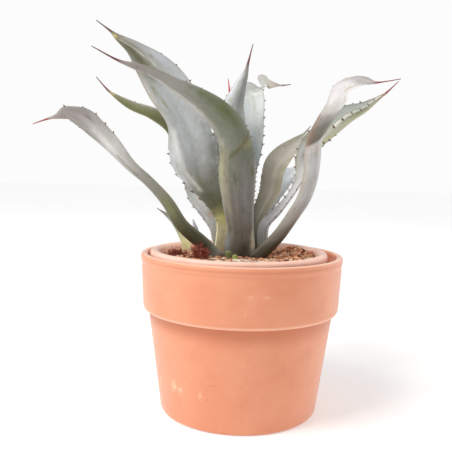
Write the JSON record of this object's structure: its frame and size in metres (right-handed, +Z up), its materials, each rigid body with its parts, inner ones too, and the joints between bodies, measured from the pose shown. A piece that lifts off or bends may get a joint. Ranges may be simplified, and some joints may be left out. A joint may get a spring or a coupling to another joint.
{
  "type": "potted agave",
  "caption": "Agave rosette of long arching toothed leaves in a terracotta nursery pot, standing in a larger banded terracotta cover pot.",
  "frame": {"origin": "middle of the cover pot's flat underside", "axes": "+Z up along the cover pot's axis, -Y towards the front, +X to the right as seen from the front"},
  "size_m": [0.3254, 0.2636, 0.3743],
  "materials": {
    "terracotta_orange": "matte unglazed terracotta",
    "terracotta_pink": "matte unglazed terracotta, paler",
    "potting_soil": "crumbly potting mix of peat and bark",
    "coir": "matted coconut fibre",
    "bark": "dry bark and straw chips",
    "stem_green": "fleshy stem",
    "agave_leaf": "waxy grey-green leaf with dark spines",
    "dry_leaf_base": "dry cut leaf base"
  },
  "bodies": {
    "root": {"cover_pot": "terracotta_orange", "nursery_pot": "terracotta_pink", "soil": "potting_soil", "stem": "stem_green", "leaf_front": "agave_leaf", "leaf_far_left": "agave_leaf", "leaf_left": "agave_leaf", "leaf_back_left": "agave_leaf", "leaf_front_right": "agave_leaf", "leaf_right": "agave_leaf", "leaf_back_right": "agave_leaf", "leaf_far_back": "agave_leaf", "leaf_back": "agave_leaf", "leaf_centre": "agave_leaf", "leaf_bud": "agave_leaf", "offset_leaf_long": "agave_leaf", "offset_leaf_short": "agave_leaf", "leaf_stub_1": "dry_leaf_base", "leaf_stub_2": "dry_leaf_base", "leaf_stub_3": "dry_leaf_base", "coir_clump_1": "coir", "coir_clump_2": "coir", "bark_chip_1": "bark", "bark_chip_2": "bark", "bark_chip_3": "bark", "bark_chip_4": "bark", "bark_chip_5": "bark", "bark_chip_6": "bark", "bark_chip_7": "bark", "bark_chip_8": "bark"}
  },
  "joints": []
}
